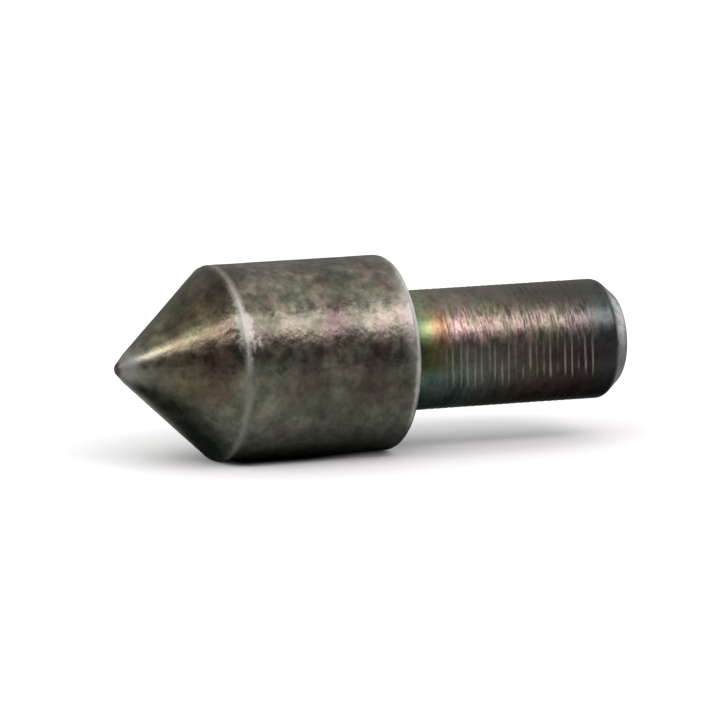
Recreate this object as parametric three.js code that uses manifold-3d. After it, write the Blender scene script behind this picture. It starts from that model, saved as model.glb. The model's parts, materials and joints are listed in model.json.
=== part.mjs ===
// Live center: a coned head that turns on ball bearings around a fixed threaded stud.
// Millimetres. The spin axis is X: the point's flat is at X = 0 and the stud ends at X = STUD_END.

import * as THREE from "three";
import { mergeVertices } from "three/addons/utils/BufferGeometryUtils.js";
import Module from "manifold-3d";

const wasm = await Module();
wasm.setup();

// ---- driving dimensions: places along the axis end in _AT, _START or _END ----

const HEAD_RADIUS = 13;
const CONE_END = 13.6;
const HEAD_END = 38.6;
const TIP_FLAT_RADIUS = 0.6;
const GROUND_TIP_END = 1.3;
const GROUND_TIP_RADIUS = 2;
const FRONT_RIM_WEAR = 0.3;
const REAR_RIM_CHAMFER = 0.8;

const STUD_RADIUS = 8;
const STUD_SHOULDER_AT = 34;
const STUD_END = 71.1;
const END_CHAMFER_LENGTH = 2.3;
const END_CHAMFER_DEPTH = 2;
const SOCKET_ACROSS_FLATS = 6;
const SOCKET_DEPTH = 6;

const JOURNAL_RADIUS = 6;
const NOSE_RADIUS = 4;
const NOSE_TIP_AT = 13.1;
const INNER_SHOULDER_RADIUS = 7.1;

const BORE_FLOOR_AT = 12.5;
const WASHER_POCKET_END = 14.1;
const RELIEF_RADIUS = 9.7;
const RELIEF_END = 19;
const NUT_THREAD_RADIUS = 11.5;

// Bearings: radii of the rings' outside and bore, of the ball circle and of the balls.
const BALL_BEARING = { outer: 10.5, inner: 6, width: 5, pitch: 8.25, ball: 1.19, balls: 11 };
const BEARING_LANDS = { inner: 7.4, outer: 9.15 };
const CROWN_CAGE = { inner: 7.6, outer: 8.9, solidSide: 1.95, openSide: 0.95 };
const FRONT_BEARING_AT = 19.4;
const REAR_BEARING_AT = 28.4;
const OUTER_SPACER_BORE = 9.3;
const INNER_SPACER_RADIUS = 7.2;

const THRUST_BEARING = { outer: 8, inner: 4, washer: 1.5, height: 5, pitch: 6, ball: 1.25, balls: 9 };
const THRUST_HOUSING_BORE = 4.2;
const THRUST_CAGE = { inner: 4.3, outer: 7.7, thickness: 1.2 };

const CIRCLIP = { groove: 5.75, radius: 7.5, thickness: 1, gapDegrees: 34 };
const CIRCLIP_LUG = { radius: 1.5, at: 7.5, degrees: 23.8, hole: 0.6 };
const CIRCLIP_GROOVE_START = 18.3;
const CIRCLIP_GROOVE_WIDTH = 1.1;

const WAVE_SPRING = { outer: 10.3, inner: 8.5, thickness: 0.3, lift: 0.43, waves: 3, middle: 34.05 };

const NUT_START = 34.7;
const NUT_LENGTH = 3.4;
const NUT_BORE = 8.25;
const NUT_NOTCH = { count: 4, width: 2.4, depth: 1.2, inner: 10.5 };
const FELT_GROOVE = { start: 35.5, width: 1.8, radius: 10.1 };

const FIT = 0.02; // radial gap between a turned surface and the bore around it
const BALL_GAP = 0.03; // between a ball and the bottom of its race
const RACE_RADIUS_PER_BALL = 1.08; // cross-section radius of a race over the ball's radius
const POCKET_GAP = 0.1; // between a ball and its cage pocket
const AXIAL_GAP = 0.05; // beside parts that sit loose between two faces

const COARSE = 32; // facets round the parts inside
const FINE = 48; // facets round the head, the stud and the nut
const SMALL = 12; // facets round cage pockets and the circlip's lugs and holes
const RACE_STEPS = 4;
const THROUGH = 20; // longer than any wall that a cutting tool goes through

const ALONG_AXIS = new THREE.Vector3(1, 0, 0);

// ---- shapes ----

// A solid of revolution about X. The profile holds [along, radius] points, outer side first and towards +X;
// it starts and ends on the axis, or it is closed here.
function turned(profile, facets) {
  const points = profile.map(([along, radius]) => new THREE.Vector2(radius, along));
  if (profile[0][1] > 0) points.push(points[0].clone());
  return new THREE.LatheGeometry(points, facets).rotateZ(-Math.PI / 2);
}

// The corner radius of a faceted bore whose flats clear a round part of this radius.
function bore(radius, facets) {
  return (radius + FIT) / Math.cos(Math.PI / facets);
}

// A plain ring with a running bore.
function ring(start, end, inner, outer, facets) {
  const hole = bore(inner, facets);
  return turned([[start, hole], [start, outer], [end, outer], [end, hole]], facets);
}

// Points of a race seen in section: an arc that opens in the direction of `open` and is cut off
// where it meets the land, `depth` above its bottom. It gives [side, height] pairs.
function raceArc(ball, depth) {
  const radius = ball * RACE_RADIUS_PER_BALL;
  const edge = Math.acos(1 - depth / radius);
  const points = [];
  for (let step = 0; step <= RACE_STEPS; step += 1) {
    const angle = edge * ((2 * step) / RACE_STEPS - 1);
    points.push([radius * Math.sin(angle), radius * (1 - Math.cos(angle))]);
  }
  return points;
}

// A cylinder whose axis lies along a unit vector and whose middle is at a point.
function rod(radius, length, direction, middle, facets) {
  const turn = new THREE.Quaternion().setFromUnitVectors(new THREE.Vector3(0, 1, 0), direction);
  const geometry = new THREE.CylinderGeometry(radius, radius, length, facets).applyQuaternion(turn);
  return geometry.translate(middle.x, middle.y, middle.z);
}

// The unit vector that points away from the axis at an angle from +Z.
function outward(angle) {
  return new THREE.Vector3(0, -Math.sin(angle), Math.cos(angle));
}

function spacedAngles(count) {
  return Array.from({ length: count }, (_, index) => (2 * Math.PI * index) / count);
}

// ---- joins and cuts ----

function solid(geometry) {
  const bare = geometry.clone().deleteAttribute("normal").deleteAttribute("uv");
  const merged = mergeVertices(bare);
  return new wasm.Manifold(
    new wasm.Mesh({
      numProp: 3,
      vertProperties: merged.attributes.position.array,
      triVerts: new Uint32Array(merged.index.array),
    }),
  );
}

function geometryOf(manifold) {
  const { vertProperties, triVerts } = manifold.getMesh();
  const geometry = new THREE.BufferGeometry();
  geometry.setAttribute("position", new THREE.BufferAttribute(vertProperties, 3));
  geometry.setIndex(new THREE.BufferAttribute(triVerts, 1));
  geometry.computeVertexNormals();
  return geometry;
}

function cut(geometry, tools) {
  const left = tools.reduce((body, tool) => body.subtract(solid(tool)), solid(geometry));
  return geometryOf(left);
}

// ---- materials ----

function steel(color, roughness) {
  return new THREE.MeshStandardMaterial({ color, roughness, metalness: 1 });
}

const MATERIALS = {
  head: steel(0x4a463c, 0.45),
  stud: steel(0x6e675a, 0.4),
  race: steel(0xb9bcc0, 0.15),
  ball: steel(0xd5d8db, 0.08),
  cage: steel(0xb08d4f, 0.35),
  spring: steel(0x4b5058, 0.35),
  spacer: steel(0x8b8e90, 0.35),
  nut: steel(0x3f3f3d, 0.45),
  felt: new THREE.MeshStandardMaterial({ color: 0xcfc6b2, roughness: 0.95, metalness: 0 }),
};

const assembly = new THREE.Group();

function place(name, geometry, material) {
  const mesh = new THREE.Mesh(geometry, MATERIALS[material]);
  mesh.name = name;
  assembly.add(mesh);
}

// ---- the turning head and the fixed stud ----

function headGeometry() {
  const washerPocket = bore(THRUST_BEARING.outer, FINE);
  const relief = bore(RELIEF_RADIUS, FINE);
  const bearingBore = bore(BALL_BEARING.outer, FINE);
  const nutThread = bore(NUT_THREAD_RADIUS, FINE);
  return turned(
    [
      [0, 0],
      [0, TIP_FLAT_RADIUS],
      [GROUND_TIP_END, GROUND_TIP_RADIUS],
      [CONE_END - FRONT_RIM_WEAR, HEAD_RADIUS - FRONT_RIM_WEAR],
      [CONE_END + FRONT_RIM_WEAR, HEAD_RADIUS],
      [HEAD_END - REAR_RIM_CHAMFER, HEAD_RADIUS],
      [HEAD_END, HEAD_RADIUS - REAR_RIM_CHAMFER],
      [HEAD_END, nutThread],
      [NUT_START, nutThread],
      [NUT_START, bearingBore],
      [RELIEF_END, bearingBore],
      [RELIEF_END, relief],
      [WASHER_POCKET_END, relief],
      [WASHER_POCKET_END, washerPocket],
      [BORE_FLOOR_AT, washerPocket],
      [BORE_FLOOR_AT, 0],
    ],
    FINE,
  );
}

function studGeometry() {
  const seat = BORE_FLOOR_AT + THRUST_BEARING.height;
  const grooveEnd = CIRCLIP_GROOVE_START + CIRCLIP_GROOVE_WIDTH;
  const bearingsEnd = REAR_BEARING_AT + BALL_BEARING.width;
  const chamferStart = STUD_END - END_CHAMFER_LENGTH;
  const turnedStud = turned(
    [
      [NOSE_TIP_AT, 0],
      [NOSE_TIP_AT, NOSE_RADIUS],
      [seat, NOSE_RADIUS],
      [seat, JOURNAL_RADIUS],
      [CIRCLIP_GROOVE_START, JOURNAL_RADIUS],
      [CIRCLIP_GROOVE_START, CIRCLIP.groove],
      [grooveEnd, CIRCLIP.groove],
      [grooveEnd, JOURNAL_RADIUS],
      [bearingsEnd, JOURNAL_RADIUS],
      [bearingsEnd, INNER_SHOULDER_RADIUS],
      [STUD_SHOULDER_AT, INNER_SHOULDER_RADIUS],
      [STUD_SHOULDER_AT, STUD_RADIUS],
      [chamferStart, STUD_RADIUS],
      [chamferStart + END_CHAMFER_LENGTH * 0.55, STUD_RADIUS - END_CHAMFER_DEPTH * 0.4],
      [STUD_END, STUD_RADIUS - END_CHAMFER_DEPTH],
      [STUD_END, 0],
    ],
    FINE,
  );
  const cornerRadius = SOCKET_ACROSS_FLATS / 2 / Math.cos(Math.PI / 6);
  const mouth = new THREE.Vector3(STUD_END, 0, 0);
  const socket = rod(cornerRadius, 2 * SOCKET_DEPTH, ALONG_AXIS, mouth, 6);
  return cut(turnedStud, [socket]);
}

// ---- a radial ball bearing: two rings, a cage open on one side, and its balls ----

function innerRing(start) {
  const middle = start + BALL_BEARING.width / 2;
  const end = start + BALL_BEARING.width;
  const hole = bore(BALL_BEARING.inner, COARSE);
  const bottom = BALL_BEARING.pitch - BALL_BEARING.ball - BALL_GAP;
  const land = BEARING_LANDS.inner;
  const race = raceArc(BALL_BEARING.ball, land - bottom);
  const track = race.map(([side, height]) => [middle + side, bottom + height]);
  return turned([[start, hole], [start, land], ...track, [end, land], [end, hole]], COARSE);
}

function outerRing(start) {
  const middle = start + BALL_BEARING.width / 2;
  const end = start + BALL_BEARING.width;
  const bottom = BALL_BEARING.pitch + BALL_BEARING.ball + BALL_GAP;
  const race = raceArc(BALL_BEARING.ball, bottom - BEARING_LANDS.outer);
  const land = bore(BEARING_LANDS.outer, COARSE);
  const track = race.map(([side, height]) => [middle - side, bore(bottom - height, COARSE)]);
  const rim = BALL_BEARING.outer;
  return turned([[start, land], [start, rim], [end, rim], [end, land], ...track], COARSE);
}

// Where a bearing's balls stand: their centres and the directions that they lie in.
function ballPlaces(bearing, middle) {
  return spacedAngles(bearing.balls).map((angle) => {
    const direction = outward(angle);
    return { direction, centre: direction.clone().multiplyScalar(bearing.pitch).setX(middle) };
  });
}

// `open` is +1 or -1: the side of the balls where the pockets are open.
function crownCage(start, open) {
  const middle = start + BALL_BEARING.width / 2;
  const ends = [middle - open * CROWN_CAGE.solidSide, middle + open * CROWN_CAGE.openSide];
  const body = ring(Math.min(...ends), Math.max(...ends), CROWN_CAGE.inner, CROWN_CAGE.outer, COARSE);
  const depth = 2 * (CROWN_CAGE.outer - CROWN_CAGE.inner);
  const pockets = ballPlaces(BALL_BEARING, middle).map(({ direction, centre }) =>
    rod(BALL_BEARING.ball + POCKET_GAP, depth, direction, centre, SMALL),
  );
  return cut(body, pockets);
}

function placeBalls(name, bearing, middle) {
  ballPlaces(bearing, middle).forEach(({ centre }, index) => {
    const sphere = new THREE.SphereGeometry(bearing.ball, 8, 6);
    place(`${name}_${index + 1}`, sphere.translate(centre.x, centre.y, centre.z), "ball");
  });
}

function placeBallBearing(name, start, open) {
  place(`${name}_inner_ring`, innerRing(start), "race");
  place(`${name}_outer_ring`, outerRing(start), "race");
  place(`${name}_cage`, crownCage(start, open), "cage");
  placeBalls(`${name}_ball`, BALL_BEARING, start + BALL_BEARING.width / 2);
}

// ---- the thrust bearing: two grooved washers, a flat cage and its balls ----

// A washer with its race on the side of the balls: `facing` is +1 when they lie towards +X.
function thrustWasher(backFace, facing, hole) {
  const face = backFace + facing * THRUST_BEARING.washer;
  const middle = BORE_FLOOR_AT + THRUST_BEARING.height / 2;
  const bottom = middle - facing * (THRUST_BEARING.ball + BALL_GAP);
  const race = raceArc(THRUST_BEARING.ball, Math.abs(face - bottom));
  const track = race.map(([side, height]) => [
    bottom + facing * height,
    THRUST_BEARING.pitch - facing * side,
  ]);
  const inner = bore(hole, COARSE);
  const outer = THRUST_BEARING.outer;
  if (facing > 0) {
    return turned([[backFace, inner], [backFace, outer], [face, outer], ...track, [face, inner]], COARSE);
  }
  return turned([[backFace, outer], [backFace, inner], [face, inner], ...track, [face, outer]], COARSE);
}

function thrustCage() {
  const middle = BORE_FLOOR_AT + THRUST_BEARING.height / 2;
  const { inner, outer, thickness } = THRUST_CAGE;
  const body = ring(middle - thickness / 2, middle + thickness / 2, inner, outer, COARSE);
  const pockets = ballPlaces(THRUST_BEARING, middle).map(({ centre }) =>
    rod(THRUST_BEARING.ball + POCKET_GAP, THROUGH, ALONG_AXIS, centre, SMALL),
  );
  return cut(body, pockets);
}

function placeThrustBearing() {
  const seat = BORE_FLOOR_AT + THRUST_BEARING.height;
  place("thrust_housing_washer", thrustWasher(BORE_FLOOR_AT, 1, THRUST_HOUSING_BORE), "race");
  place("thrust_shaft_washer", thrustWasher(seat, -1, THRUST_BEARING.inner), "race");
  place("thrust_cage", thrustCage(), "cage");
  placeBalls("thrust_ball", THRUST_BEARING, BORE_FLOOR_AT + THRUST_BEARING.height / 2);
}

// ---- the small parts that hold the bearings ----

// A wedge with its edge on the axis, which opens the circlip towards +Z.
function gapWedge(middle) {
  const halfGap = THREE.MathUtils.degToRad(CIRCLIP.gapDegrees / 2);
  const side = THROUGH * Math.sin(halfGap);
  const reach = THROUGH * Math.cos(halfGap);
  const corners = [[0, 0], [side, reach], [-side, reach]].map(([x, y]) => new THREE.Vector2(x, y));
  const wedge = new THREE.ExtrudeGeometry(new THREE.Shape(corners), { depth: THROUGH, bevelEnabled: false });
  return wedge.rotateX(Math.PI / 2).rotateZ(Math.PI / 2).translate(middle - THROUGH / 2, 0, 0);
}

// An open ring in the stud's groove, with two drilled lugs beside its gap.
function circlipGeometry() {
  const start = CIRCLIP_GROOVE_START + AXIAL_GAP;
  const end = start + CIRCLIP.thickness;
  const middle = (start + end) / 2;
  const lugAngle = THREE.MathUtils.degToRad(CIRCLIP_LUG.degrees);
  const lugCentres = [lugAngle, -lugAngle].map((angle) =>
    outward(angle).multiplyScalar(CIRCLIP_LUG.at).setX(middle),
  );
  const lugs = lugCentres.map((centre) =>
    solid(rod(CIRCLIP_LUG.radius, CIRCLIP.thickness, ALONG_AXIS, centre, SMALL)),
  );
  const holes = lugCentres.map((centre) => rod(CIRCLIP_LUG.hole, THROUGH, ALONG_AXIS, centre, SMALL));
  const journal = rod(CIRCLIP.groove + FIT, THROUGH, ALONG_AXIS, new THREE.Vector3(middle, 0, 0), FINE);
  const closedRing = solid(ring(start, end, CIRCLIP.groove, CIRCLIP.radius, FINE));
  const withLugs = lugs.reduce((body, lug) => body.add(lug), closedRing);
  return cut(geometryOf(withLugs), [gapWedge(middle), journal, ...holes]);
}

// A thin washer bent into waves round the axis.
function waveSpringGeometry() {
  const { outer, inner, thickness, lift, waves, middle } = WAVE_SPRING;
  const geometry = ring(middle - thickness / 2, middle + thickness / 2, inner, outer, FINE);
  const position = geometry.attributes.position;
  for (let index = 0; index < position.count; index += 1) {
    const angle = Math.atan2(position.getY(index), position.getZ(index));
    position.setX(index, position.getX(index) + lift * Math.cos(waves * angle));
  }
  return geometry;
}

function nutGeometry() {
  const end = NUT_START + NUT_LENGTH;
  const hole = bore(NUT_BORE, FINE);
  const groove = bore(FELT_GROOVE.radius, FINE);
  const grooveEnd = FELT_GROOVE.start + FELT_GROOVE.width;
  const rim = NUT_THREAD_RADIUS - FIT;
  const body = turned(
    [
      [NUT_START, hole],
      [NUT_START, rim],
      [end, rim],
      [end, hole],
      [grooveEnd, hole],
      [grooveEnd, groove],
      [FELT_GROOVE.start, groove],
      [FELT_GROOVE.start, hole],
    ],
    FINE,
  );
  const notches = spacedAngles(NUT_NOTCH.count).map((angle) => {
    const block = new THREE.BoxGeometry(2 * NUT_NOTCH.depth, NUT_NOTCH.width, THROUGH);
    return block.translate(end, 0, NUT_NOTCH.inner + THROUGH / 2).rotateX(angle);
  });
  return cut(body, notches);
}

function feltGeometry() {
  const start = FELT_GROOVE.start + AXIAL_GAP;
  const end = FELT_GROOVE.start + FELT_GROOVE.width - AXIAL_GAP;
  return ring(start, end, STUD_RADIUS, FELT_GROOVE.radius - AXIAL_GAP, COARSE);
}

// ---- assembly ----

const SPACER_START = FRONT_BEARING_AT + BALL_BEARING.width;

place("rotating_head", headGeometry(), "head");
place("fixed_stud", studGeometry(), "stud");
placeThrustBearing();
placeBallBearing("front", FRONT_BEARING_AT, -1);
placeBallBearing("rear", REAR_BEARING_AT, 1);
place(
  "inner_spacer",
  ring(SPACER_START, REAR_BEARING_AT, BALL_BEARING.inner, INNER_SPACER_RADIUS, COARSE),
  "spacer",
);
place(
  "outer_spacer",
  ring(SPACER_START, REAR_BEARING_AT, OUTER_SPACER_BORE, BALL_BEARING.outer - FIT, COARSE),
  "spacer",
);
place("circlip", circlipGeometry(), "spring");
place("wave_spring", waveSpringGeometry(), "spring");
place("retaining_nut", nutGeometry(), "nut");
place("felt_seal", feltGeometry(), "felt");

export default assembly;
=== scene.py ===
"""Looks for the live center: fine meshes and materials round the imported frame.

Meshes are drawn in millimetres and scaled to metres as they are made. The spin axis is X.
"""

import json
import math

import bmesh
import bpy
import numpy as np
from mathutils import Matrix, Quaternion, Vector, noise


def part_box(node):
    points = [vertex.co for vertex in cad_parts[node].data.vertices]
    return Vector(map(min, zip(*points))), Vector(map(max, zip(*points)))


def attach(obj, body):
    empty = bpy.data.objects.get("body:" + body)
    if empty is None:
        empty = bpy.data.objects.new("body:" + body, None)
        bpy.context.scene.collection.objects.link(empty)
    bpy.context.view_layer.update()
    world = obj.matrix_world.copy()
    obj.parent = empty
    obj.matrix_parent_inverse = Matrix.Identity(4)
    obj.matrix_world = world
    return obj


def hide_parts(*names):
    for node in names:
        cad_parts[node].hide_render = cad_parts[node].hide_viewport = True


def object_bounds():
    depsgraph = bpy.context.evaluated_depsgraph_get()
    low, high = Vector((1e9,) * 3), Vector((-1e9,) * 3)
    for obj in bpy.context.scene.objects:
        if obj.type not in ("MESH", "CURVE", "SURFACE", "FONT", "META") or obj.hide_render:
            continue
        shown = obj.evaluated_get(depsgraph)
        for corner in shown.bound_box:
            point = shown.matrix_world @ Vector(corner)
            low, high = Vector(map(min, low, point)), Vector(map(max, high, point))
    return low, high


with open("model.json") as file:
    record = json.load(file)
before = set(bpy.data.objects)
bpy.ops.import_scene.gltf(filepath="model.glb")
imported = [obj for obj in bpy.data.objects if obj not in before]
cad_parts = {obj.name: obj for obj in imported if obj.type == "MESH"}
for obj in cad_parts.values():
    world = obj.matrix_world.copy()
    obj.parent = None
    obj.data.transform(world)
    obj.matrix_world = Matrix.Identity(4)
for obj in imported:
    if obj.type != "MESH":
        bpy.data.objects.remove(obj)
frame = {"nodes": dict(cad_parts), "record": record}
cad_low, cad_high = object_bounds()

MM = 0.001

BODY_OF = {n: body for body, nodes in frame["record"]["behaviour"]["bodies"].items() for n in nodes}
SLOT_OF = {part["node"]: part["material_slot"] for part in frame["record"]["subparts"]}


# ---- sizes taken from the frame, in millimetres ----


def span(node):
    """Where a round node starts and ends along the axis, and its largest radius."""
    low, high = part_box(node)
    return low.x / MM, high.x / MM, high.z / MM


HEAD_START, HEAD_END, HEAD_RADIUS = span("rotating_head")
STUD_START, STUD_END, STUD_RADIUS = span("fixed_stud")
NUT_START, NUT_END, NUT_RADIUS = span("retaining_nut")

# ---- sizes of features that the frame's boxes don't show ----

CONE_END = 13.6
TIP_FLAT_RADIUS = 0.6
GROUND_TIP_END = 1.3
GROUND_TIP_RADIUS = 2.0
HIGHEST_SWELL = 0.03

BORE_FLOOR = 12.5
POCKET_END, POCKET_RADIUS = 14.1, 8.08
RELIEF_END, RELIEF_RADIUS = 19.0, 9.75
BEARING_BORE_RADIUS = 10.55
MOUTH_CHAMFER_RISE = 0.27
MOUTH_CHAMFER_LENGTH = 0.28

NOSE_RADIUS = 4.0
JOURNAL_START, JOURNAL_END, JOURNAL_RADIUS = 17.5, 33.4, 6.0
GROOVE_START, GROOVE_END, GROOVE_RADIUS = 18.3, 19.4, 5.75
SHOULDER_END, SHOULDER_RADIUS = 34.0, 7.1
THREAD_START = 42.7
THREAD_END = 66.0
THREAD_PITCH = 1.0
THREAD_DEPTH = 0.065
CREST_SHARE = 0.2
END_CHAMFER = 2.3
END_FACE_RADIUS = 6.0
SOCKET_FLAT = 3.0
SOCKET_DEPTH = 6.0
SOCKET_MOUTH = 3.7
DRILLED_RADIUS = 2.6
DRILLED_DEPTH = 0.4
DRILL_POINT_DEPTH = 1.2

CIRCLIP_RADIUS = 7.5
CIRCLIP_TAPER = 0.45
CIRCLIP_GAP = 34.0
CIRCLIP_LUG_ANGLE = 23.8
CIRCLIP_LUG_AT = 7.5
CIRCLIP_LUG_RADIUS = 1.5
CIRCLIP_HOLE = 0.6
CIRCLIP_BEVEL = 0.08

NUT_BORE_RADIUS = 8.27
NOTCHES = 4
NOTCH_AT = 12.5
NOTCH_WIDTH = 2.4
NOTCH_REACH = 4.0
NOTCH_DEPTH = 1.2

RADIAL_PITCH = 8.25
RADIAL_BALL = 1.19
RADIAL_OUTER_LAND = 9.15
RADIAL_CAGE_HOLE = 7.62
THRUST_PITCH = 6.0
THRUST_BALL = 1.25
THRUST_CAGE_HOLE = 4.32
HOUSING_WASHER_HOLE = 4.22
SHAFT_WASHER_HOLE = 4.02
RACE_TO_BALL = 1.04

OUTER_SPACER_HOLE = 9.32
SPRING_HOLE = 8.52
SPRING_THICKNESS = 0.3
SPRING_WAVES = 3

THREAD_PLAY = 0.03
NUT_SEAT_PLAY = 0.02
SLIDING_PLAY = 0.01
BALL_PLAY = 0.01
POCKET_PLAY = 0.08
FELT_PLAY = 0.05
FELT_SIDE_PLAY = 0.04


# ---- outlines ----


def section(corners, closed=False, step=None):
    """An outline as an array of (along, radius) points.

    Each corner is (along, radius) or (along, radius, fillet): a fillet becomes an arc. Stretches
    longer than step are divided.
    """
    count = len(corners)
    outline = []
    for index, corner in enumerate(corners):
        here = np.array(corner[:2], float)
        fillet = corner[2] if len(corner) > 2 else 0.0
        at_end = not closed and index in (0, count - 1)
        if fillet <= 0 or at_end:
            outline.append(here)
            continue
        before = np.array(corners[index - 1][:2], float)
        after = np.array(corners[(index + 1) % count][:2], float)
        outline.extend(fillet_arc(before, here, after, fillet))
    points = np.array(outline)
    return divided(points, closed, step) if step else points


def fillet_arc(before, corner, after, radius):
    """Points of the arc that rounds a corner between two straight stretches."""
    back = (before - corner) / np.linalg.norm(before - corner)
    ahead = (after - corner) / np.linalg.norm(after - corner)
    half = math.acos(np.clip(back @ ahead, -1, 1)) / 2
    centre = corner + (back + ahead) / np.linalg.norm(back + ahead) * radius / math.sin(half)
    start = corner + back * radius / math.tan(half) - centre
    end = corner + ahead * radius / math.tan(half) - centre
    turn = math.atan2(start[0] * end[1] - start[1] * end[0], start @ end)
    steps = max(2, math.ceil(abs(turn) / math.radians(12)))
    arc = []
    for share in np.linspace(0, 1, steps + 1):
        c, s = math.cos(turn * share), math.sin(turn * share)
        arc.append(centre + np.array([c * start[0] - s * start[1], s * start[0] + c * start[1]]))
    return arc


def divided(points, closed, step):
    """The same outline with no stretch longer than step."""
    ends = np.roll(points, -1, axis=0)
    if not closed:
        points, ends = points[:-1], ends[:-1]
    rows = []
    for start, end in zip(points, ends):
        parts = max(1, math.ceil(np.linalg.norm(end - start) / step))
        rows.extend(start + (end - start) * k / parts for k in range(parts))
    if not closed:
        rows.append(ends[-1])
    return np.array(rows)


# ---- meshes ----


def angles(columns):
    """Angles round the axis, from +Z towards -Y."""
    return np.arange(columns) * 2 * math.pi / columns


def turned_grid(outline, columns):
    """Rows of an outline repeated round the axis: arrays of places along it and of radii."""
    along = np.repeat(outline[:, :1], columns, axis=1)
    radius = np.repeat(outline[:, 1:], columns, axis=1)
    return along, radius


def points_of(along, radius):
    """The points of a grid round the axis."""
    angle = angles(along.shape[1])[None, :]
    return np.stack([along, -radius * np.sin(angle), radius * np.cos(angle)], axis=-1)


def grid_object(name, along, radius, closed=False):
    """A mesh object from a grid round the axis. An open grid starts and ends on the axis."""
    rows, columns = along.shape
    co = points_of(along, radius)
    first, last = (0, rows) if closed else (1, rows - 1)
    points = [co[first:last].reshape(-1, 3)]
    body_rows = last - first
    ring = np.arange(columns)
    nxt = np.roll(ring, -1)
    faces = []
    pairs = [(r, (r + 1) % body_rows) for r in range(body_rows if closed else body_rows - 1)]
    for low, high in pairs:
        quads = np.stack([low * columns + ring, low * columns + nxt,
                          high * columns + nxt, high * columns + ring], axis=1)
        faces.extend(quads.tolist())
    if not closed:
        start, end = body_rows * columns, body_rows * columns + 1
        points.append(co[:1, 0])
        points.append(co[-1:, 0])
        base = (body_rows - 1) * columns
        faces.extend([start, b, a] for a, b in zip(ring.tolist(), nxt.tolist()))
        faces.extend([end, base + a, base + b] for a, b in zip(ring.tolist(), nxt.tolist()))
    return mesh_object(name, np.concatenate(points), faces)


def smooth(mesh):
    """Smooth shading that stays sharp at corners."""
    mesh.shade_smooth()
    mesh.set_sharp_from_angle(angle=math.radians(35))


def placed(name, data):
    """An object that holds this data, linked into the scene."""
    made = bpy.data.objects.new(name, data)
    bpy.context.scene.collection.objects.link(made)
    return made


def mesh_object(name, points, faces):
    """An object from points in millimetres and faces of point numbers."""
    mesh = bpy.data.meshes.new(name)
    mesh.from_pydata((np.asarray(points, float) * MM).tolist(), [], faces)
    mesh.validate()
    smooth(mesh)
    return placed(name, mesh)


def mesh_of(name, shape):
    """A mesh from a bmesh, which is freed."""
    mesh = bpy.data.meshes.new(name)
    shape.to_mesh(mesh)
    shape.free()
    return mesh


def ring_corners(start, end, hole, rim, hole_fillet, rim_fillet):
    """The four corners of a plain ring's section."""
    return [
        (start, hole, hole_fillet),
        (start, rim, rim_fillet),
        (end, rim, rim_fillet),
        (end, hole, hole_fillet),
    ]


def turned_object(name, corners, columns=128):
    """An object from a closed section turned round the axis."""
    return grid_object(name, *turned_grid(section(corners, True), columns), True)


def boolean_cut(target, cutter):
    """Cuts one object out of another and removes the cutter."""
    modifier = target.modifiers.new("cut", "BOOLEAN")
    modifier.operation = "DIFFERENCE"
    modifier.solver = "EXACT"
    modifier.object = cutter
    graph = bpy.context.evaluated_depsgraph_get()
    cut_mesh = bpy.data.meshes.new_from_object(target.evaluated_get(graph))
    target.modifiers.remove(modifier)
    target.data = cut_mesh
    smooth(cut_mesh)
    bpy.data.objects.remove(cutter)
    return target


def bumps(points, size, seed, octaves=3):
    """Smooth noise from about -1 to 1 at each point, with features of about this size in mm."""
    shift = Vector((seed * 17.3, seed * 5.1, seed * 9.7))
    flat = points.reshape(-1, 3) / size
    values = [noise.fractal(Vector(p) + shift, 1.0, 2.0, octaves) for p in flat.tolist()]
    return np.array(values).reshape(points.shape[:-1])


def smoothstep(low, high, value):
    """0 below low, 1 above high, and a smooth step between them."""
    share = np.clip((value - low) / (high - low), 0, 1)
    return share * share * (3 - 2 * share)


# ---- node materials ----


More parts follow.
